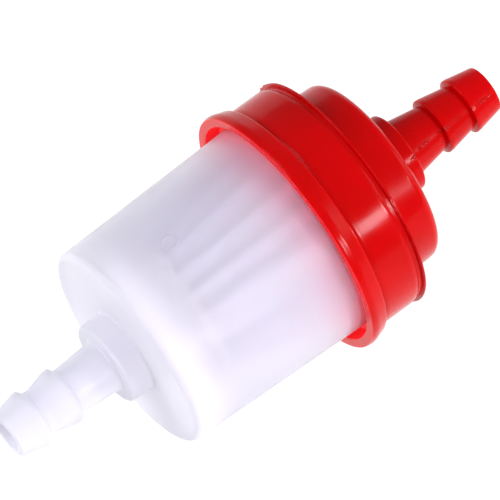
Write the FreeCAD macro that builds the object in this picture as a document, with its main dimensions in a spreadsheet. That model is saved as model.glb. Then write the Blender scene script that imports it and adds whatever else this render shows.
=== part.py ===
"""Inline fuel filter for small engines, as a parametric FreeCAD document.

The filter lies along X: the inlet barb's mouth is at the origin, fuel flows towards +X and +Z is up.
A translucent cup carries the inlet barb. A push-on cap carries the outlet barb and, on a ring inside
it, the pleated element. Every length is in millimetres, and stations along X start at the inlet mouth.
"""

import FreeCAD, Part
import math
import os

import Sketcher

SIZES = {
    "centre_line": 0.0,
    # Hose barbs, for hose of 1/4 inch (6.35 mm) inside diameter
    "bore_radius": 2.15,
    "crest_radius": 4.03,
    "crest_land": 0.5,
    "barb_root_radius": 3.3,
    "inlet_mouth": 0.0,
    "inlet_tip_radius": 3.15,
    "inlet_first_crest": 3.6,
    "inlet_barb_pitch": 5.0,
    "inlet_back_slope": 0.6,
    "inlet_root_land": 1.0,
    "inlet_stem_radius": 3.68,
    "outlet_last_crest": 74.2,
    "outlet_barb_pitch": 4.6,
    "outlet_back_slope": 0.2,
    "outlet_stem_radius": 4.2,
    "outlet_mouth": 78.5,
    "outlet_tip_radius": 3.3,
    # Cup, with its inlet boss and the land and snap bead that the cap grips
    "inlet_boss_face": 15.7,
    "inlet_boss_radius": 5.8,
    "cup_end": 19.1,
    "cup_floor": 20.6,
    "cup_end_radius": 14.58,
    "cup_floor_radius": 13.25,
    "cup_land_start": 46.2,
    "cup_land_radius": 15.4,
    "snap_bead_start": 50.0,
    "snap_bead_slope": 0.3,
    "snap_bead_land": 0.4,
    "snap_bead_radius": 15.55,
    "cup_rim": 52.5,
    "cup_mouth_radius": 14.15,
    # Cap: skirt ring, band between two creases, parting rib, dome, outlet boss and the element's seat ring
    "skirt_front": 45.2,
    "skirt_front_radius": 17.82,
    "skirt_crown": 45.9,
    "skirt_crown_radius": 18.05,
    "skirt_back": 47.9,
    "skirt_back_radius": 17.4,
    "skirt_bore_radius": 16.5,
    "skirt_bore_depth": 2.3,
    "skirt_lead_in": 0.6,
    "band_crease_start": 48.0,
    "band_crease_end": 48.15,
    "band_crease_radius": 16.6,
    "band_slope": 0.5,
    "band_radius": 16.78,
    "band_back_crease": 53.85,
    "cap_bore_radius": 15.6,
    "parting_rib_start": 54.4,
    "parting_rib_width": 0.3,
    "parting_rib_radius": 17.0,
    "shoulder_face": 54.9,
    "shoulder_floor": 53.6,
    "dome_radius": 13.65,
    "dome_top_radius": 13.4,
    "dome_top": 60.3,
    "dome_ceiling": 59.1,
    "dome_bore_radius": 12.2,
    "dome_bore_top_radius": 12.0,
    "outlet_boss_radius": 5.65,
    "outlet_boss_face": 64.1,
    "seat_ring_end": 48.6,
    "seat_ring_radius": 12.5,
    "seat_ring_bore_radius": 11.4,
    "seat_ring_root": 54.2,
    # Rubber seals
    "rim_gasket_bore_radius": 13.95,
    "rim_gasket_radius": 15.35,
    "element_seal_thickness": 0.8,
    "element_seal_bore_radius": 12.55,
    "element_seal_radius": 13.5,
    # Open end of the element: a sleeve on the seat ring, a web and the trough for the pleats
    "collar_radius": 13.7,
    "collar_bore_radius": 12.55,
    "collar_web_back": 48.2,
    "collar_web_front": 47.4,
    "collar_front": 46.0,
    "collar_lip": 0.3,
    "collar_inner_radius": 9.55,
    "collar_throat_radius": 8.95,
    # Pleated filter cloth, tapering towards the closed end
    "pleat_count": 20,
    "pleat_cloth": 0.34,
    "pleat_tip_half_width": 0.5,
    "pleat_valley_half_width": 0.14,
    "pleat_bulge": 0.18,
    "pleat_depth": 3.1,
    "pleat_front": 27.6,
    "pleat_front_radius": 9.85,
    "pleat_knee": 43.6,
    "pleat_knee_radius": 12.85,
    "pleat_back": 47.1,
    "pleat_back_radius": 13.25,
    # Adhesive that the pleats' ends are set in
    "potting_front_depth": 0.5,
    "potting_back_depth": 0.95,
    "potting_front_bore_radius": 6.7,
    # Closed end of the element
    "disc_front": 26.6,
    "disc_floor": 27.3,
    "disc_radius": 10.3,
    "disc_lip": 0.35,
    "disc_lip_end": 27.9,
    "disc_spigot_radius": 5.45,
    "disc_spigot_end": 29.6,
    "disc_nub_radius": 1.3,
    "disc_nub_front": 26.0,
    # Cage inside the pleats, with rows of windows
    "cage_front_radius": 6.5,
    "cage_back_radius": 9.45,
    "cage_wall": 0.85,
    "window_width": 2.9,
    "window_length": 4.0,
    "window_columns": 8,
    "window_rows": 3,
    "window_pitch": 5.3,
    "window_first": 30.6,
    # Edge rounding
    "tip_round": 0.25,
    "crest_round": 0.14,
    "boss_round": 0.5,
    "boss_foot_round": 0.4,
    "cup_end_round": 0.9,
    "cup_floor_round": 0.8,
    "skirt_crown_round": 1.5,
    "skirt_back_round": 0.35,
    "band_round": 1.6,
    "dome_round": 1.35,
    "dome_ceiling_round": 0.9,
    "small_round": 0.2,
}

FULL_TURN = 360
QUARTER_TURN = 90
SAME_PLACE = 1e-4  # mm, how close a ring edge's station and radius are to the ones asked for
LEAST_CUT = 1.0  # mm3, the least that the cage's first column of windows takes away

doc = FreeCAD.newDocument("fuel_filter")


def fill_sheet():
    """Keeps the driving dimensions in a spreadsheet, one aliased cell each."""
    sheet = doc.addObject("Spreadsheet::Sheet", "Sizes")
    for row, (alias, number) in enumerate(SIZES.items(), start=1):
        sheet.set(f"A{row}", alias)
        sheet.set(f"B{row}", str(number))
        sheet.setAlias(f"B{row}", alias)
    doc.recompute()


def size(alias):
    """The number in the spreadsheet cell with that alias."""
    return float(doc.getObject("Sizes").get(alias))


def value(words):
    """The number that a sum of size names stands for, such as "cup_end + small_round"."""
    total, sign = 0.0, 1
    for word in words.split():
        if word in "+-":
            sign = 1 if word == "+" else -1
        else:
            total += sign * size(word)
    return total


def formula(words):
    """The same sum as an expression on the spreadsheet's cells."""
    return " ".join(word if word in "+-" else f"Sizes.{word}" for word in words.split())


def origin_feature(body, role):
    """The body's own origin plane or axis with that role, such as XY_Plane or X_Axis."""
    return next(feature for feature in body.Origin.OriginFeatures if feature.Role == role)


def outline_sketch(body, corners):
    """A closed outline on the body's XY plane, each corner a pair of size sums: along X and out from it."""
    sketch = body.newObject("Sketcher::SketchObject", f"{body.Name}_outline")
    sketch.AttachmentSupport = [(origin_feature(body, "XY_Plane"), "")]
    sketch.MapMode = "FlatFace"
    places = [FreeCAD.Vector(value(along), value(out), 0) for along, out in corners]
    count = len(places)
    for i in range(count):
        sketch.addGeometry(Part.LineSegment(places[i], places[(i + 1) % count]), False)
    for i in range(count):
        sketch.addConstraint(Sketcher.Constraint("Coincident", i, 2, (i + 1) % count, 1))
    for i, (along, out) in enumerate(corners):
        for kind, words, number in (("DistanceX", along, places[i].x), ("DistanceY", out, places[i].y)):
            index = sketch.addConstraint(Sketcher.Constraint(kind, -1, 1, i, 1, number))
            sketch.setExpression(f"Constraints[{index}]", formula(words))
    return sketch


def turned_body(label, corners):
    """A body whose base feature is an outline turned about the X axis."""
    body = doc.addObject("PartDesign::Body", label)
    body.Label = label
    sketch = outline_sketch(body, corners)
    turning = body.newObject("PartDesign::Revolution", f"{label}_turning")
    turning.Profile = sketch
    turning.ReferenceAxis = (sketch, ["H_Axis"])
    turning.Angle = FULL_TURN
    doc.recompute()
    return body


def ring_edges(shape, along, out):
    """Names of the circular edges of a turned shape at one station and radius."""
    found = []
    for number, edge in enumerate(shape.Edges, start=1):
        curve = edge.Curve
        if isinstance(curve, Part.Circle) and abs(curve.Center.x - value(along)) < SAME_PLACE:
            if abs(curve.Radius - value(out)) < SAME_PLACE:
                found.append(f"Edge{number}")
    if not found:
        raise RuntimeError(f"no ring edge at {along}, radius {out}")
    return found


def round_rings(body, alias, rings):
    """Rounds the ring edges at the given (station, radius) pairs by the size with that alias."""
    base = body.Tip
    names = []
    for along, out in rings:
        names += ring_edges(base.Shape, along, out)
    rounding = body.newObject("PartDesign::Fillet", f"{body.Name}_{alias}")
    rounding.Base = (base, names)
    rounding.Radius = size(alias)
    rounding.setExpression("Radius", formula(alias))
    doc.recompute()


def make_cup():
    """Translucent cup: inlet barb, boss, end wall, tapered side wall, cap land and snap bead."""
    first_end = "inlet_first_crest + crest_land"
    second = "inlet_first_crest + inlet_barb_pitch"
    second_end = second + " + crest_land"
    bead_top = "snap_bead_start + snap_bead_slope"
    bead_end = bead_top + " + snap_bead_land"
    body = turned_body("cup_housing", [
        ("inlet_mouth", "bore_radius"),
        ("inlet_mouth", "inlet_tip_radius"),
        ("inlet_first_crest", "crest_radius"),
        (first_end, "crest_radius"),
        (first_end + " + inlet_back_slope", "barb_root_radius"),
        (first_end + " + inlet_back_slope + inlet_root_land", "barb_root_radius"),
        (second, "crest_radius"),
        (second_end, "crest_radius"),
        (second_end + " + inlet_back_slope", "barb_root_radius"),
        ("inlet_boss_face", "inlet_stem_radius"),
        ("inlet_boss_face", "inlet_boss_radius"),
        ("cup_end", "inlet_boss_radius"),
        ("cup_end", "cup_end_radius"),
        ("cup_land_start", "cup_land_radius"),
        ("snap_bead_start", "cup_land_radius"),
        (bead_top, "snap_bead_radius"),
        (bead_end, "snap_bead_radius"),
        (bead_end + " + snap_bead_slope", "cup_land_radius"),
        ("cup_rim", "cup_land_radius"),
        ("cup_rim", "cup_mouth_radius"),
        ("cup_floor", "cup_floor_radius"),
        ("cup_floor", "bore_radius"),
    ])
    round_rings(body, "cup_end_round", [("cup_end", "cup_end_radius")])
    round_rings(body, "cup_floor_round", [("cup_floor", "cup_floor_radius")])
    round_rings(body, "boss_round", [("inlet_boss_face", "inlet_boss_radius")])
    round_rings(body, "boss_foot_round", [
        ("cup_end", "inlet_boss_radius"),
        ("inlet_boss_face", "inlet_stem_radius"),
    ])
    round_rings(body, "tip_round", [("inlet_mouth", "inlet_tip_radius")])
    round_rings(body, "crest_round", [
        ("inlet_first_crest", "crest_radius"),
        (first_end, "crest_radius"),
        (second, "crest_radius"),
        (second_end, "crest_radius"),
    ])
    round_rings(body, "small_round", [("cup_rim", "cup_land_radius"), ("cup_rim", "cup_mouth_radius")])
    return body


def make_cap():
    """Push-on cap: skirt ring, band, parting rib, dome, boss, outlet barb and the element's seat ring.

    The skirt ring is crowned near its front. A crease at each end sets off the band.
    """
    first = "outlet_last_crest - outlet_barb_pitch"
    rib_end = "parting_rib_start + parting_rib_width"
    bore_start = "skirt_front + skirt_bore_depth"
    band_front = "band_crease_end + band_slope"
    band_back = "band_back_crease - band_slope"
    body = turned_body("outlet_cap", [
        ("skirt_front", "skirt_bore_radius"),
        ("skirt_front", "skirt_front_radius"),
        ("skirt_crown", "skirt_crown_radius"),
        ("skirt_back", "skirt_back_radius"),
        ("band_crease_start", "band_crease_radius"),
        ("band_crease_end", "band_crease_radius"),
        (band_front, "band_radius"),
        (band_back, "band_radius"),
        ("band_back_crease", "band_crease_radius"),
        ("parting_rib_start", "band_crease_radius"),
        ("parting_rib_start", "parting_rib_radius"),
        (rib_end, "parting_rib_radius"),
        ("shoulder_face", "band_crease_radius"),
        ("shoulder_face", "dome_radius"),
        ("dome_top", "dome_top_radius"),
        ("dome_top", "outlet_boss_radius"),
        ("outlet_boss_face", "outlet_boss_radius"),
        ("outlet_boss_face", "outlet_stem_radius"),
        (first + " - outlet_back_slope", "barb_root_radius"),
        (first, "crest_radius"),
        (first + " + crest_land", "crest_radius"),
        ("outlet_last_crest - outlet_back_slope", "barb_root_radius"),
        ("outlet_last_crest", "crest_radius"),
        ("outlet_last_crest + crest_land", "crest_radius"),
        ("outlet_mouth", "outlet_tip_radius"),
        ("outlet_mouth", "bore_radius"),
        ("dome_ceiling", "bore_radius"),
        ("dome_ceiling", "dome_bore_top_radius"),
        ("seat_ring_root", "dome_bore_radius"),
        ("seat_ring_root", "seat_ring_bore_radius"),
        ("seat_ring_end", "seat_ring_bore_radius"),
        ("seat_ring_end", "seat_ring_radius"),
        ("shoulder_floor", "seat_ring_radius"),
        ("shoulder_floor", "cap_bore_radius"),
        (bore_start + " + skirt_lead_in", "cap_bore_radius"),
        (bore_start, "skirt_bore_radius"),
    ])
    round_rings(body, "dome_round", [("dome_top", "dome_top_radius")])
    round_rings(body, "dome_ceiling_round", [("dome_ceiling", "dome_bore_top_radius")])
    round_rings(body, "boss_foot_round", [
        ("dome_top", "outlet_boss_radius"),
        ("outlet_boss_face", "outlet_boss_radius"),
        ("outlet_boss_face", "outlet_stem_radius"),
        ("shoulder_face", "dome_radius"),
    ])
    round_rings(body, "skirt_crown_round", [("skirt_crown", "skirt_crown_radius")])
    round_rings(body, "skirt_back_round", [("skirt_back", "skirt_back_radius")])
    round_rings(body, "band_round", [(band_front, "band_radius"), (band_back, "band_radius")])
    round_rings(body, "tip_round", [("outlet_mouth", "outlet_tip_radius")])
    round_rings(body, "small_round", [
        ("skirt_front", "skirt_bore_radius"),
        ("seat_ring_end", "seat_ring_radius"),
    ])
    round_rings(body, "crest_round", [
        (first, "crest_radius"),
        (first + " + crest_land", "crest_radius"),
        ("outlet_last_crest", "crest_radius"),
        ("outlet_last_crest + crest_land", "crest_radius"),
    ])
    return body


def make_rim_gasket():
    """Flat rubber ring between the cup's rim and the cap's shoulder."""
    body = turned_body("rim_gasket", [
        ("cup_rim", "rim_gasket_bore_radius"),
        ("cup_rim", "rim_gasket_radius"),
        ("shoulder_floor", "rim_gasket_radius"),
        ("shoulder_floor", "rim_gasket_bore_radius"),
    ])
    round_rings(body, "small_round", [
        ("cup_rim", "rim_gasket_bore_radius"),
        ("cup_rim", "rim_gasket_radius"),
    ])
    return body


def make_element_seal():
    """Flat rubber ring between the element's collar and the cap's shoulder."""
    front = "shoulder_floor - element_seal_thickness"
    body = turned_body("element_seal", [
        (front, "element_seal_bore_radius"),
        (front, "element_seal_radius"),
        ("shoulder_floor", "element_seal_radius"),
        ("shoulder_floor", "element_seal_bore_radius"),
    ])
    round_rings(body, "small_round", [("shoulder_floor", "element_seal_radius")])
    return body


def make_collar():
    """Open end of the element: a sleeve on the seat ring, a web and the trough that holds the pleats."""
    back = "shoulder_floor - element_seal_thickness"
    body = turned_body("element_collar", [
        (back, "collar_bore_radius"),
        (back, "collar_radius"),
        ("collar_front", "collar_radius"),
        ("collar_front", "collar_radius - collar_lip"),
        ("collar_web_front", "collar_radius - collar_lip"),
        ("collar_web_front", "collar_inner_radius"),
        ("collar_front", "collar_inner_radius"),
        ("collar_front", "collar_throat_radius"),
        ("collar_web_back", "collar_throat_radius"),
        ("collar_web_back", "collar_bore_radius"),
    ])
    round_rings(body, "small_round", [(back, "collar_radius"), ("collar_web_back", "collar_throat_radius")])
    return body


def make_disc():
    """Closed end of the element: a disc with a lip round the pleats, a spigot in the cage and a gate nub."""
    body = turned_body("end_disc", [
        ("disc_nub_front", "centre_line"),
        ("disc_nub_front", "disc_nub_radius"),
        ("disc_front", "disc_nub_radius"),
        ("disc_front", "disc_radius"),
        ("disc_lip_end", "disc_radius"),
        ("disc_lip_end", "disc_radius - disc_lip"),
        ("disc_floor", "disc_radius - disc_lip"),
        ("disc_floor", "disc_spigot_radius"),
        ("disc_spigot_end", "disc_spigot_radius"),
        ("disc_spigot_end", "centre_line"),
    ])
    round_rings(body, "boss_foot_round", [("disc_front", "disc_radius")])
    round_rings(body, "small_round", [
        ("disc_nub_front", "disc_nub_radius"),
        ("disc_spigot_end", "disc_spigot_radius"),
    ])
    return body


def window_sketch(body):
    """One row of the cage's windows along X, as rectangles on the body's XY plane."""
    sketch = body.newObject("Sketcher::SketchObject", "support_cage_windows")
    sketch.AttachmentSupport = [(origin_feature(body, "XY_Plane"), "")]
    sketch.MapMode = "FlatFace"
    half = size("window_width") / 2
    for row in range(int(size("window_rows"))):
        start = size("window_first") + row * size("window_pitch")
        end = start + size("window_length")
        places = ((start, -half), (end, -half), (end, half), (start, half))
        corners = [FreeCAD.Vector(*place, 0) for place in places]
        first = sketch.GeometryCount
        for i in range(4):
            sketch.addGeometry(Part.LineSegment(corners[i], corners[(i + 1) % 4]), False)
        for i in range(4):
            sketch.addConstraint(Sketcher.Constraint("Coincident", first + i, 2, first + (i + 1) % 4, 1))
        for side, kind in enumerate(("Horizontal", "Vertical", "Horizontal", "Vertical")):
            sketch.addConstraint(Sketcher.Constraint(kind, first + side))
        row_start = f"Sizes.window_first + {row} * Sizes.window_pitch"
        bound = (
            (("DistanceX", -1, 1, first, 1, start), row_start),
            (("DistanceY", first, 1, -1, 1, half), "Sizes.window_width / 2"),
            (("DistanceX", first, 1, first, 2, end - start), "Sizes.window_length"),
            (("DistanceY", first + 1, 1, first + 1, 2, 2 * half), "Sizes.window_width"),
        )
        for dimension, words in bound:
            index = sketch.addConstraint(Sketcher.Constraint(*dimension))
            sketch.setExpression(f"Constraints[{index}]", words)
    doc.recompute()
    return sketch


def make_cage():
    """Tapered cage that keeps the pleats from collapsing inwards, with rows of windows for the fuel."""
    body = turned_body("support_cage", [
        ("disc_floor", "cage_front_radius - cage_wall"),
        ("disc_floor", "cage_front_radius"),
        ("collar_front", "cage_back_radius"),
        ("collar_front", "cage_back_radius - cage_wall"),
    ])
    sketch = window_sketch(body)
    solid_volume = body.Shape.Volume
    pocket = body.newObject("PartDesign::Pocket", "support_cage_pocket")
    pocket.Profile = sketch
    pocket.Type = "ThroughAll"
    pocket.Reversed = True
    doc.recompute()
    if pocket.Shape.Volume > solid_volume - LEAST_CUT:
        raise RuntimeError("the cage's windows cut nothing")
    pattern = body.newObject("PartDesign::PolarPattern", "support_cage_pattern")
    pattern.Originals = [pocket]
    pattern.Axis = (origin_feature(body, "X_Axis"), [""])
    pattern.Angle = FULL_TURN
    pattern.Occurrences = int(size("window_columns"))
    pattern.setExpression("Occurrences", "Sizes.window_columns")
    body.Tip = pattern
    doc.recompute()
    return body


def pleat_fold(station, angle, radius, half_width, bulge):
    """A fold's rounded tip as three points: two sides at the radius and a crown pushed out by bulge."""
    side = half_width / radius
    turns = ((angle - side, radius), (angle, radius + bulge), (angle + side, radius))
    return [FreeCAD.Vector(station, r * math.cos(a), r * math.sin(a)) for a, r in turns]


def pleat_wire(station, radius, inset):
    """Star-shaped wire of the pleats at one station, moved inwards by inset at its tips and valleys."""
    count = int(size("pleat_count"))
    bulge = size("pleat_bulge")
    tip_radius = radius - inset - bulge
    tip_width = size("pleat_tip_half_width") - inset
    valley_radius = radius - size("pleat_depth") + size("pleat_cloth") - inset + bulge
    valley_width = size("pleat_valley_half_width") + inset
    folds = []
    for i in range(count):
        tip_angle = 2 * math.pi * i / count
        valley_angle = tip_angle + math.pi / count
        folds.append(pleat_fold(station, tip_angle, tip_radius, tip_width, bulge))
        folds.append(pleat_fold(station, valley_angle, valley_radius, valley_width, -bulge))
    edges = []
    for fold, next_fold in zip(folds, folds[1:] + folds[:1]):
        edges.append(Part.Arc(*fold).toShape())
        edges.append(Part.makeLine(fold[2], next_fold[0]))
    return Part.Wire(edges)


def make_pleats():
    """The pleated filter cloth: a star-shaped tapered loft less another, one cloth thickness inside it."""
    lofts = []
    for side, inset in (("outside", 0.0), ("inside", size("pleat_cloth"))):
        sections = []
        for place in ("front", "knee", "back"):
            wire = doc.addObject("Part::Feature", f"pleat_{side}_{place}")
            wire.Shape = pleat_wire(size(f"pleat_{place}"), size(f"pleat_{place}_radius"), inset)
            sections.append(wire)
        loft = doc.addObject("Part::Loft", f"pleat_{side}")
        loft.Sections = sections
        loft.Solid = True
        loft.Ruled = True
        lofts.append(loft)
    pleats = doc.addObject("Part::Cut", "pleated_media")
    pleats.Label = "pleated_media"
    pleats.Base, pleats.Tool = lofts
    doc.recompute()
    return pleats


def make_potting(label, start, end, outer, inner, pleats):
    """A ring of adhesive from one station to another, with the pleats' ends set in it."""
    ring = doc.addObject("Part::Cylinder", f"{label}_ring")
    hole = doc.addObject("Part::Cylinder", f"{label}_hole")
    for cylinder, radius in ((ring, outer), (hole, inner)):
        cylinder.setExpression("Radius", formula(radius))
        cylinder.setExpression("Height", f"{formula(end)} - ({formula(start)})")
        cylinder.Placement = FreeCAD.Placement(
            FreeCAD.Vector(value(start), 0, 0),
            FreeCAD.Rotation(FreeCAD.Vector(0, 1, 0), QUARTER_TURN),
        )
        cylinder.setExpression("Placement.Base.x", formula(start))
    blank = doc.addObject("Part::Cut", f"{label}_blank")
    blank.Base, blank.Tool = ring, hole
    potting = doc.addObject("Part::Cut", label)
    potting.Label = label
    potting.Base, potting.Tool = blank, pleats
    doc.recompute()
    return potting


def check_document():
    """Stops if any object of the document failed to recompute."""
    doc.recompute()
    for item in doc.Objects:
        if "Invalid" in item.State or "Error" in item.State:
            raise RuntimeError(f"{item.Name} failed: {item.State}")


def export_parts(parts):
    """Writes each sub-part to its own STEP file, named after its label."""
    os.makedirs("parts", exist_ok=True)
    for part in parts:
        shape = part.Shape
        if shape.isNull() or not shape.isValid() or len(shape.Solids) != 1:
            raise RuntimeError(f"{part.Label} is not one valid solid")
        shape.exportStep(f"parts/{part.Label}.step")
        print(part.Label, round(shape.Volume, 1), "mm3")


fill_sheet()
pleated_media = make_pleats()
part_list = [
    make_cup(),
    make_cap(),
    make_rim_gasket(),
    make_element_seal(),
    make_collar(),
    make_disc(),
    make_cage(),
    pleated_media,
    make_potting(
        "potting_front",
        "disc_floor",
        "disc_floor + potting_front_depth",
        "disc_radius - disc_lip",
        "potting_front_bore_radius",
        pleated_media,
    ),
    make_potting(
        "potting_back",
        "collar_web_front - potting_back_depth",
        "collar_web_front",
        "collar_radius - collar_lip",
        "collar_inner_radius",
        pleated_media,
    ),
]
check_document()
export_parts(part_list)
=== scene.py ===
"""Studio scene for an inline fuel filter: a translucent cup, a red cap and a pleated element inside."""

import math

import bmesh
import bpy
from mathutils import Matrix, Vector, noise
from mathutils.bvhtree import BVHTree


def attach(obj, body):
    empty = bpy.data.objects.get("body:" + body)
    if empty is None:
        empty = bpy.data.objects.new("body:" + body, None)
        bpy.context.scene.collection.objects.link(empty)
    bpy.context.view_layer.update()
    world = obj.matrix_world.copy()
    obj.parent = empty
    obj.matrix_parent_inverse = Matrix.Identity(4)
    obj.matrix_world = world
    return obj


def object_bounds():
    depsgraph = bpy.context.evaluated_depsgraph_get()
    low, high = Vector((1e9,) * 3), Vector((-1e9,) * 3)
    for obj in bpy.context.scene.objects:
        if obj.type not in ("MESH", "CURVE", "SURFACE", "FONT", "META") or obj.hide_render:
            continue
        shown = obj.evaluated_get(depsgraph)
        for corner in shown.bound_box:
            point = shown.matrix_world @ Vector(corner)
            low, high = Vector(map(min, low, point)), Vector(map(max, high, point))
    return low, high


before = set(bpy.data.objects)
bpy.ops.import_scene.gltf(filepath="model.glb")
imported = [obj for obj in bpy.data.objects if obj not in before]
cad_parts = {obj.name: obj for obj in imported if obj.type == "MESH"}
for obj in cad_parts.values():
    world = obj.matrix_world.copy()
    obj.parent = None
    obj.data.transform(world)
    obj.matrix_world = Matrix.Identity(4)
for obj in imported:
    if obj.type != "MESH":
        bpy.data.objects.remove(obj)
cad_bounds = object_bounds()

MM = 0.001

# Camera: a long lens, high over the filter, with the cup towards it
CAMERA_AZIMUTH = math.radians(-38.7)
CAMERA_ELEVATION = math.radians(65.3)
CAMERA_DISTANCE = 0.876
CAMERA_LENS = 489.0
CAMERA_SENSOR = 36.0
CAMERA_CLIP = (0.05, 20.0)
AIM_ALONG_FILTER = 55.86 * MM
AIM_LEFT = 12.84 * MM
AIM_DOWN = 8.12 * MM

# The lights look at the place where the cup meets the cap, and the key lights are a little pink
LIT_PLACE = Vector((45.0 * MM, 0, 0))
KEY_DISTANCE = 0.6
KEY_COLOUR = (1.0, 0.95, 1.0)
ROOM_COLOUR = (0.95, 0.96, 1.0, 1)
ROOM_STRENGTH = 0.46
FLOOR_HALF_WIDTH = 6.0
FLOOR_GLOW = 0.95

# Nearly all of a noise pattern's values lie between these two
NOISE_LOW = 0.3
NOISE_HIGH = 0.7

# The mix node's sockets for colours
MIX_FIRST_COLOUR = 6
MIX_SECOND_COLOUR = 7
MIX_COLOUR_RESULT = 2

# Colours: each material's mottle runs from the first to the second
MILKY_COLOURS = ((0.88, 0.865, 0.96), (0.93, 0.915, 0.985))
DENSE_MILKY_COLOURS = ((0.84, 0.835, 0.92), (0.89, 0.885, 0.96))
# Painted red glow: the cup's mouth is tinted towards these colours in place of the red cap's light
PAINTED_GLOW_MILKY_COLOURS = ((0.9, 0.28, 0.48), (0.95, 0.42, 0.62))
CAP_COLOURS = ((0.39, 0.0, 0.0), (0.47, 0.0, 0.001))
MOULDED_WHITE_COLOURS = ((0.8, 0.78, 0.76), (0.87, 0.86, 0.84))
PAPER_COLOURS = ((0.76, 0.73, 0.86), (0.9, 0.88, 0.96))
# Painted red glow: the paper's open end is tinted towards these colours in place of the red cap's light
PAINTED_GLOW_PAPER_COLOURS = ((0.86, 0.32, 0.52), (0.96, 0.48, 0.68))
ADHESIVE_COLOURS = ((0.62, 0.5, 0.33), (0.75, 0.66, 0.48))
RUBBER_COLOURS = ((0.02, 0.02, 0.022), (0.045, 0.045, 0.05))
FLOOR_COLOURS = ((0.17, 0.17, 0.175), (0.18, 0.18, 0.18))

# The cup's plastic is densest in its barb, cloudy up to its end wall and clearer along its side wall
BARB_END = 15.0 * MM
CUP_START = 20.0 * MM
THICK_CUP_END = 20.5 * MM
THIN_WALL_START = 26.0 * MM
THICK_CLEARNESS = 0.5
WALL_CLEARNESS = 0.7

# Painted glow: emission on the red cap's inner faces and front edge, and a red tint painted into the cup's
# mouth, stand in for light that comes through the red cap
INNER_FACES_RADIUS = 16.6 * MM
INNER_FACES_END = 53.8 * MM
FRONT_EDGE_END = 45.3 * MM
FRONT_EDGE_SHARE = 0.45
PAINTED_INNER_GLOW = 0.55
MOUTH_PAINTED_GLOW_START = 39.0 * MM
MOUTH_PAINTED_GLOW_END = 47.0 * MM
MOUTH_PAINTED_GLOW = 0.5

# Painted red glow: the paper is tinted rosy towards its open end, standing in for the red cap's light
PAPER_GLOW_START = 35.0 * MM
PAPER_GLOW_END = 46.0 * MM
PAPER_PAINTED_GLOW = 0.9

# Flash: a thin ragged fin that the mould's parting line leaves round the cap's rib
FLASH_STATION = 54.55 * MM
FLASH_ROOT_RADIUS = 16.85 * MM
FLASH_CREST_RADIUS = 17.02 * MM
FLASH_HEIGHT = 0.34 * MM
FLASH_LEAST_SHARE = 0.12
FLASH_ROOT_WIDTH = 0.14 * MM
FLASH_TIP_WIDTH = 0.04 * MM
FLASH_STEPS = 1440

# The fin swells in a few long stretches, tears in short ones, and leans a little one way or the other
SWELL_SCALE = 2.3
SWELL_PLACE = Vector((4.0, 0, 0))
SWELL_GAIN = 2.2
TEAR_SCALE = 38
TEAR_MIDDLE = 0.55
TEAR_GAIN = 0.9
TEAR_LEAST = 0.15
LEAN_SCALE = 11
LEAN_SHARE = 0.5

# Seam: a low broken ridge that the mould's split leaves along the outlet barb, one each side
SEAM_START = 62.0 * MM
SEAM_END = 77.8 * MM
SEAM_ANGLES = {"near": math.radians(128.0), "far": math.radians(-52.0)}
SEAM_WIDTH = 0.3 * MM
SEAM_HEIGHT = 0.09 * MM
SEAM_DEPTH = 0.05 * MM
SEAM_STEPS = 320
SEAM_LANES = 8
PROBE_RADIUS = 30.0 * MM

# The ridge comes and goes in patches about 2 mm long, roughened by finer specks
PATCH_SCALE = 500
PATCH_GAIN = 1.3
SPECK_SCALE = 2600
SPECK_SCALE_ACROSS = 1.4
SPECK_GAIN = 0.8
RIDGE_MIDDLE = 0.35

# Witness ring: the low round mark of a mould pin on the cup's wall
WITNESS_STATION = 28.8 * MM
WITNESS_ANGLE = math.radians(78.5)
WITNESS_RADIUS = 1.0 * MM
WITNESS_WIRE = 0.13 * MM
WITNESS_FLATNESS = 0.5
WITNESS_STEPS = 64
WITNESS_SIDES = 10


def camera_axes():
    """The camera's right, up and backward directions."""
    sin_a, cos_a = math.sin(CAMERA_AZIMUTH), math.cos(CAMERA_AZIMUTH)
    sin_e, cos_e = math.sin(CAMERA_ELEVATION), math.cos(CAMERA_ELEVATION)
    right = Vector((cos_a, sin_a, 0))
    up = Vector((-sin_a * sin_e, cos_a * sin_e, cos_e))
    back = Vector((sin_a * cos_e, -cos_a * cos_e, sin_e))
    return right, up, back


def make_camera():
    """A level camera that looks at a point to the left of the cap and below it."""
    right, up, back = camera_axes()
    aim = Vector((AIM_ALONG_FILTER, 0, 0)) - AIM_LEFT * right - AIM_DOWN * up
    data = bpy.data.cameras.new("camera")
    data.lens = CAMERA_LENS
    data.sensor_width = CAMERA_SENSOR
    data.clip_start, data.clip_end = CAMERA_CLIP
    data.dof.use_dof = False
    camera = bpy.data.objects.new("camera", data)
    turn = Matrix((right, up, back)).transposed().to_4x4()
    camera.matrix_world = Matrix.Translation(aim + CAMERA_DISTANCE * back) @ turn
    bpy.context.scene.collection.objects.link(camera)
    bpy.context.scene.camera = camera


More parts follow.
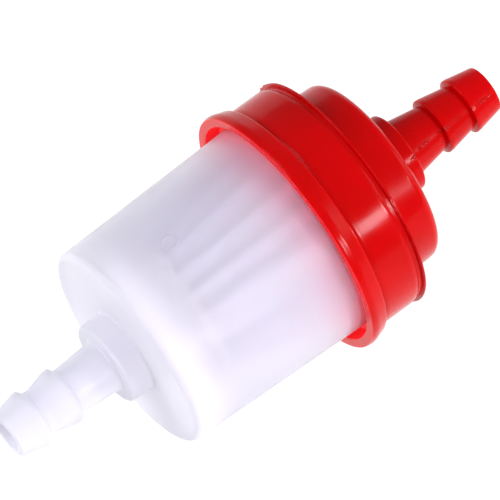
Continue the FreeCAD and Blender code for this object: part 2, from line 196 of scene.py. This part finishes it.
class Shader:
    """A material's node tree, with short ways to add and join nodes."""

    def __init__(self, name):
        self.material = bpy.data.materials.new(name)
        self.material.use_nodes = True
        self.tree = self.material.node_tree
        self.surface = self.tree.nodes["Principled BSDF"]
        self.place = self.node("ShaderNodeTexCoord").outputs["Object"]

    def node(self, kind, **settings):
        node = self.tree.nodes.new(kind)
        for name, setting in settings.items():
            setattr(node, name, setting)
        return node

    def join(self, source, target):
        self.tree.links.new(source, target)

    def set(self, **values):
        """Sets the surface shader's own sockets, named with underscores for spaces."""
        for name, value in values.items():
            self.surface.inputs[name.replace("_", " ")].default_value = value

    def finish(self, **patterns):
        """Joins patterns to the surface shader's sockets, named as in set, and returns the material."""
        for name, source in patterns.items():
            self.join(source, self.surface.inputs[name.replace("_", " ")])
        return self.material

    def noise(self, scale, detail, roughness=0.5, stretch=None):
        """Noise by place on the object; stretch squeezes the place along X, Y and Z."""
        node = self.node("ShaderNodeTexNoise")
        node.inputs["Scale"].default_value = scale
        node.inputs["Detail"].default_value = detail
        node.inputs["Roughness"].default_value = roughness
        source = self.place
        if stretch:
            mapping = self.node("ShaderNodeMapping")
            mapping.inputs["Scale"].default_value = stretch
            self.join(source, mapping.inputs["Vector"])
            source = mapping.outputs["Vector"]
        self.join(source, node.inputs["Vector"])
        return node.outputs["Fac"]

    def ramp(self, pattern, colours):
        """A noise pattern coloured from the first of two colours to the second."""
        node = self.node("ShaderNodeValToRGB")
        elements = node.color_ramp.elements
        for element, position, colour in zip(elements, (NOISE_LOW, NOISE_HIGH), colours):
            element.position = position
            element.color = (*colour, 1)
        self.join(pattern, node.inputs["Fac"])
        return node.outputs["Color"]

    def rescale(self, value, start, end, low, high, **settings):
        """A value rescaled, and held at its ends, so that start gives low and end gives high."""
        node = self.node("ShaderNodeMapRange", **settings)
        for name, number in (("From Min", start), ("From Max", end), ("To Min", low), ("To Max", high)):
            node.inputs[name].default_value = number
        self.join(value, node.inputs["Value"])
        return node.outputs["Result"]

    def spread(self, pattern, low, high):
        """A noise pattern stretched to run from low to high."""
        return self.rescale(pattern, NOISE_LOW, NOISE_HIGH, low, high)

    def along(self, start, end, low, high):
        """A value that runs smoothly from low at one station along X to high at another."""
        return self.rescale(self.station(), start, end, low, high, interpolation_type="SMOOTHSTEP")

    def station(self):
        """The place along X."""
        split = self.node("ShaderNodeSeparateXYZ")
        self.join(self.place, split.inputs["Vector"])
        return split.outputs["X"]

    def radius(self):
        """The distance from the X axis."""
        flatten = self.node("ShaderNodeVectorMath", operation="MULTIPLY")
        flatten.inputs[1].default_value = (0, 1, 1)
        self.join(self.place, flatten.inputs[0])
        length = self.node("ShaderNodeVectorMath", operation="LENGTH")
        self.join(flatten.outputs["Vector"], length.inputs[0])
        return length.outputs["Value"]

    def calculate(self, operation, first, second):
        """A value worked out from another value and a second value or number."""
        node = self.node("ShaderNodeMath", operation=operation)
        self.join(first, node.inputs[0])
        if isinstance(second, float):
            node.inputs[1].default_value = second
        else:
            self.join(second, node.inputs[1])
        return node.outputs["Value"]

    def below(self, value, limit):
        """1 where the value is under the limit and 0 elsewhere."""
        return self.calculate("LESS_THAN", value, limit)

    def blend(self, factor, first, second):
        """The first colour where the factor is 0 and the second where it is 1."""
        node = self.node("ShaderNodeMix", data_type="RGBA")
        self.join(factor, node.inputs["Factor"])
        self.join(first, node.inputs[MIX_FIRST_COLOUR])
        self.join(second, node.inputs[MIX_SECOND_COLOUR])
        return node.outputs[MIX_COLOUR_RESULT]

    def bump(self, height, distance, strength, under=None):
        """Bump of a height pattern, distance in metres, over another bump if given."""
        node = self.node("ShaderNodeBump")
        node.inputs["Distance"].default_value = distance
        node.inputs["Strength"].default_value = strength
        self.join(height, node.inputs["Height"])
        if under:
            self.join(under, node.inputs["Normal"])
        return node.outputs["Normal"]


def cup_plastic():
    """Natural translucent plastic: milky, cloudier and denser where it is thick, with faint flow marks and
    a painted red glow at its mouth.
    """
    shader = Shader("cup_plastic")
    shader.set(IOR=1.3, Specular_IOR_Level=0.2)
    flow = shader.noise(scale=70, detail=3, stretch=(0.4, 1, 1))
    plain = shader.ramp(flow, MILKY_COLOURS)
    red_glow_colour = shader.ramp(flow, PAINTED_GLOW_MILKY_COLOURS)
    dense = shader.ramp(flow, DENSE_MILKY_COLOURS)
    body = shader.blend(shader.along(BARB_END, CUP_START, low=0.0, high=1.0), dense, plain)
    # Painted red glow: the cup's mouth is tinted rosy, standing in for light that comes through the red cap
    mouth_glow_share = shader.along(MOUTH_PAINTED_GLOW_START, MOUTH_PAINTED_GLOW_END, low=0.0, high=MOUTH_PAINTED_GLOW)
    return shader.finish(
        Base_Color=shader.blend(mouth_glow_share, body, red_glow_colour),
        Roughness=shader.spread(shader.noise(scale=160, detail=4), low=0.285, high=0.34),
        Transmission_Weight=shader.along(THICK_CUP_END, THIN_WALL_START, THICK_CLEARNESS, WALL_CLEARNESS),
        Normal=shader.bump(shader.noise(scale=240, detail=2), distance=0.04 * MM, strength=0.5),
    )


def cap_plastic():
    """Deep red glossy plastic with a faint orange peel, and a painted glow (emission) on its inner faces
    and front edge.
    """
    shader = Shader("cap_plastic")
    shader.set(
        IOR=1.48,
        Specular_IOR_Level=0.1,
        Subsurface_Weight=0.3,
        Subsurface_Scale=3.0 * MM,
        Subsurface_Radius=(1.0, 0.05, 0.04),
        Emission_Color=(1.0, 0.015, 0.02, 1),
    )
    # Painted glow: emission on the inner faces, and a weaker one on the front edge, stands in for light
    # that comes through the red cap
    inside_skirt = shader.below(shader.radius(), INNER_FACES_RADIUS)
    before_shoulder = shader.below(shader.station(), INNER_FACES_END)
    inner_faces = shader.calculate("MULTIPLY", inside_skirt, before_shoulder)
    front_edge = shader.below(shader.station(), FRONT_EDGE_END)
    front_share = shader.calculate("MULTIPLY", front_edge, FRONT_EDGE_SHARE)
    painted_glow_share = shader.calculate("MAXIMUM", inner_faces, front_share)
    peel = shader.bump(shader.noise(scale=420, detail=2), distance=0.03 * MM, strength=0.6)
    return shader.finish(
        Base_Color=shader.ramp(shader.noise(scale=110, detail=4), CAP_COLOURS),
        Roughness=shader.spread(shader.noise(scale=300, detail=4), low=0.13, high=0.2),
        Emission_Strength=shader.calculate("MULTIPLY", painted_glow_share, PAINTED_INNER_GLOW),
        Normal=shader.bump(shader.noise(scale=60, detail=2), distance=0.2 * MM, strength=0.35, under=peel),
    )


def element_plastic():
    """White matte moulded plastic."""
    shader = Shader("element_plastic")
    return shader.finish(
        Base_Color=shader.ramp(shader.noise(scale=120, detail=3), MOULDED_WHITE_COLOURS),
        Roughness=shader.spread(shader.noise(scale=300, detail=3), low=0.45, high=0.62),
        Normal=shader.bump(shader.noise(scale=700, detail=3), distance=0.04 * MM, strength=0.5),
    )


def filter_paper():
    """Off-white filter paper with long soft fibres, with a rosy tint painted at its open end for the red
    cap's light.
    """
    shader = Shader("filter_paper")
    shader.set(Sheen_Weight=0.2)
    fibres = shader.noise(scale=900, detail=6, roughness=0.65, stretch=(0.25, 1, 1))
    plain = shader.ramp(fibres, PAPER_COLOURS)
    red_glow_colour = shader.ramp(fibres, PAINTED_GLOW_PAPER_COLOURS)
    # Painted red glow: the open end is tinted rosy, standing in for the red cap's light
    open_end_glow = shader.along(PAPER_GLOW_START, PAPER_GLOW_END, low=0.0, high=PAPER_PAINTED_GLOW)
    return shader.finish(
        Base_Color=shader.blend(open_end_glow, plain, red_glow_colour),
        Roughness=shader.spread(fibres, low=0.8, high=0.98),
        Normal=shader.bump(fibres, distance=0.08 * MM, strength=0.7),
    )


def potting():
    """Amber cured adhesive."""
    shader = Shader("potting")
    return shader.finish(
        Base_Color=shader.ramp(shader.noise(scale=200, detail=4), ADHESIVE_COLOURS),
        Roughness=shader.spread(shader.noise(scale=250, detail=3), low=0.3, high=0.5),
        Normal=shader.bump(shader.noise(scale=350, detail=3), distance=0.1 * MM, strength=0.6),
    )


def rubber():
    """Black rubber with a fine matte grain."""
    shader = Shader("rubber")
    return shader.finish(
        Base_Color=shader.ramp(shader.noise(scale=400, detail=4), RUBBER_COLOURS),
        Roughness=shader.spread(shader.noise(scale=500, detail=4), low=0.6, high=0.8),
        Normal=shader.bump(shader.noise(scale=1500, detail=3), distance=0.03 * MM, strength=0.6),
    )


def dress(nodes, material):
    """Gives CAD nodes one material."""
    for name in nodes:
        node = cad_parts[name]
        for slot in node.material_slots:
            slot.material = material
        if not node.material_slots:
            node.data.materials.append(material)


def ring_point(station, out, angle):
    """The point at a station along X, a distance out from the axis and an angle round it from +Y."""
    return Vector((station, out * math.cos(angle), out * math.sin(angle)))


def join_rings(bm, ring, following):
    """Joins two closed rings of vertices with a band of faces."""
    for k in range(len(ring)):
        after = (k + 1) % len(ring)
        bm.faces.new((ring[k], ring[after], following[after], following[k]))


def close_tube(bm, rings):
    """Joins each ring of vertices to the next, and the last to the first."""
    for ring, following in zip(rings, rings[1:] + rings[:1]):
        join_rings(bm, ring, following)


def add_piece(name, bm, material, body):
    """Makes an object of a bmesh, gives it a material and lets it ride on a CAD body."""
    bmesh.ops.recalc_face_normals(bm, faces=bm.faces)
    mesh = bpy.data.meshes.new(name)
    bm.to_mesh(mesh)
    bm.free()
    for face in mesh.polygons:
        face.use_smooth = True
    mesh.materials.append(material)
    piece = bpy.data.objects.new(name, mesh)
    bpy.context.scene.collection.objects.link(piece)
    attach(piece, body)


def surface_tree(node_name):
    """A search tree of a CAD node's surface, to find where rays meet it."""
    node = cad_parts[node_name]
    corners = [node.matrix_world @ vertex.co for vertex in node.data.vertices]
    return BVHTree.FromPolygons(corners, [list(face.vertices) for face in node.data.polygons])


def surface_radius(tree, station, angle):
    """The distance from the X axis to the outside of a node at a station and angle."""
    start = ring_point(station, PROBE_RADIUS, angle)
    hit = tree.ray_cast(start, ring_point(0, -1, angle))[0]
    return math.hypot(hit.y, hit.z)


def make_flash(material):
    """The fin round the parting rib, low for most of the way and higher in a few ragged places."""
    bm = bmesh.new()
    rings = []
    for i in range(FLASH_STEPS):
        angle = 2 * math.pi * i / FLASH_STEPS
        way = ring_point(0, 1, angle)
        swell = max(0.0, noise.noise(way * SWELL_SCALE + SWELL_PLACE) * SWELL_GAIN)
        tear = TEAR_MIDDLE + TEAR_GAIN * noise.noise(way * TEAR_SCALE)
        rise = FLASH_HEIGHT * min(1.0, FLASH_LEAST_SHARE + swell * max(TEAR_LEAST, tear))
        lean = LEAN_SHARE * FLASH_ROOT_WIDTH * noise.noise(way * LEAN_SCALE)
        tip = FLASH_CREST_RADIUS + rise
        rings.append([
            bm.verts.new(ring_point(FLASH_STATION + along, out, angle))
            for along, out in (
                (-FLASH_ROOT_WIDTH / 2, FLASH_ROOT_RADIUS),
                (-FLASH_ROOT_WIDTH / 2, FLASH_CREST_RADIUS),
                (lean - FLASH_TIP_WIDTH / 2, tip),
                (lean + FLASH_TIP_WIDTH / 2, tip),
                (FLASH_ROOT_WIDTH / 2, FLASH_CREST_RADIUS),
                (FLASH_ROOT_WIDTH / 2, FLASH_ROOT_RADIUS),
            )
        ])
    close_tube(bm, rings)
    add_piece("parting_flash", bm, material, "cap")


def make_witness(material):
    """The low round mark on the cup's wall, as a flattened ring half sunk in it."""
    tree = surface_tree("cup_housing")
    bm = bmesh.new()
    rings = []
    for i in range(WITNESS_STEPS):
        way = 2 * math.pi * i / WITNESS_STEPS
        ring = []
        for k in range(WITNESS_SIDES):
            side = 2 * math.pi * k / WITNESS_SIDES
            reach = WITNESS_RADIUS + WITNESS_WIRE * math.cos(side)
            rise = WITNESS_FLATNESS * WITNESS_WIRE * math.sin(side)
            station = WITNESS_STATION + reach * math.cos(way)
            surface = surface_radius(tree, station, WITNESS_ANGLE)
            turn = WITNESS_ANGLE + reach * math.sin(way) / surface
            ring.append(bm.verts.new(ring_point(station, surface + rise, turn)))
        rings.append(ring)
    close_tube(bm, rings)
    add_piece("cup_witness_ring", bm, material, "cup")


def make_seam(name, angle, material):
    """A broken ridge along the outlet barb at one angle: a closed sliver that dips into the plastic."""
    tree = surface_tree("outlet_cap")
    bm = bmesh.new()
    rings = []
    for i in range(SEAM_STEPS + 1):
        station = SEAM_START + (SEAM_END - SEAM_START) * i / SEAM_STEPS
        surface = surface_radius(tree, station, angle)
        patch = noise.noise(Vector((station * PATCH_SCALE, 0, angle)))
        top_row, bottom_row = [], []
        for k in range(SEAM_LANES + 1):
            across = 2 * k / SEAM_LANES - 1
            speck = noise.noise(Vector((station * SPECK_SCALE, across * SPECK_SCALE_ACROSS, angle)))
            strength = max(0.0, RIDGE_MIDDLE + PATCH_GAIN * patch + SPECK_GAIN * speck)
            rise = SEAM_HEIGHT * (1 - across * across) * strength
            turn = angle + across * SEAM_WIDTH / surface
            top_row.append(bm.verts.new(ring_point(station, surface - SEAM_DEPTH / 2 + rise, turn)))
            bottom_row.append(bm.verts.new(ring_point(station, surface - SEAM_DEPTH, turn)))
        rings.append(top_row + bottom_row[::-1])
    for ring, following in zip(rings, rings[1:]):
        join_rings(bm, ring, following)
    bm.faces.new(rings[0])
    bm.faces.new(rings[-1])
    add_piece(name, bm, material, "cap")


def make_floor(lowest):
    """A white floor that glows a little, as a light tent's does."""
    bm = bmesh.new()
    bmesh.ops.create_grid(bm, x_segments=1, y_segments=1, size=FLOOR_HALF_WIDTH)
    mesh = bpy.data.meshes.new("floor")
    bm.to_mesh(mesh)
    bm.free()
    floor = bpy.data.objects.new("floor", mesh)
    floor.location.z = lowest
    bpy.context.scene.collection.objects.link(floor)
    shader = Shader("floor_white")
    shader.set(Roughness=0.9, Specular_IOR_Level=0.1)
    shader.set(Emission_Color=(1, 1, 1, 1), Emission_Strength=FLOOR_GLOW)
    colour = shader.ramp(shader.noise(scale=3, detail=2), FLOOR_COLOURS)
    mesh.materials.append(shader.finish(Base_Color=colour))


def softbox(name, direction, distance, width, height, power, colour=(1, 1, 1)):
    """A soft area light that looks at the filter from a direction."""
    data = bpy.data.lights.new(name, "AREA")
    data.shape = "RECTANGLE"
    data.size, data.size_y = width, height
    data.energy = power
    data.color = colour
    light = bpy.data.objects.new(name, data)
    away = Vector(direction).normalized()
    light.location = LIT_PLACE + away * distance
    light.rotation_mode = "QUATERNION"
    light.rotation_quaternion = (-away).to_track_quat("-Z", "Y")
    bpy.context.scene.collection.objects.link(light)


def make_lights():
    """Three small key lights below the camera, wide fills behind and at the ends, and a bright room."""
    for name, direction, width, height, power in (
        ("key_inlet", (-0.02, -0.822, 0.57), 0.035, 0.09, 1.5),
        ("key_outlet", (0.5, -0.712, 0.494), 0.035, 0.09, 1.4),
        ("key_middle", (0.29, -0.787, 0.545), 0.06, 0.1, 0.9),
    ):
        softbox(name, direction, KEY_DISTANCE, width, height, power, KEY_COLOUR)
    for name, direction, distance, side, power in (
        ("overhead", (-0.5, 0.55, 0.8), 0.9, 0.6, 2.6),
        ("back_side", (-0.9, 0.8, 0.5), 0.9, 0.5, 3.0),
        ("cup_side", (-1.0, -0.1, 0.3), 0.8, 0.5, 1.0),
        ("cap_side", (1.0, -0.4, 0.4), 0.8, 0.4, 1.4),
    ):
        softbox(name, direction, distance, side, side, power)
    world = bpy.data.worlds.new("studio")
    world.use_nodes = True
    background = world.node_tree.nodes["Background"]
    background.inputs["Color"].default_value = ROOM_COLOUR
    background.inputs["Strength"].default_value = ROOM_STRENGTH
    bpy.context.scene.world = world


bpy.context.scene.view_settings.view_transform = "Standard"
make_camera()
make_floor(cad_bounds[0].z)
make_lights()
milky = cup_plastic()
dress(["cup_housing"], milky)
make_witness(milky)
red = cap_plastic()
dress(["outlet_cap", "element_collar"], red)
make_flash(red)
for seam_side, seam_angle in SEAM_ANGLES.items():
    make_seam(f"barb_seam_{seam_side}", seam_angle, red)
dress(["end_disc", "support_cage"], element_plastic())
dress(["pleated_media"], filter_paper())
dress(["potting_front", "potting_back"], potting())
dress(["rim_gasket", "element_seal"], rubber())
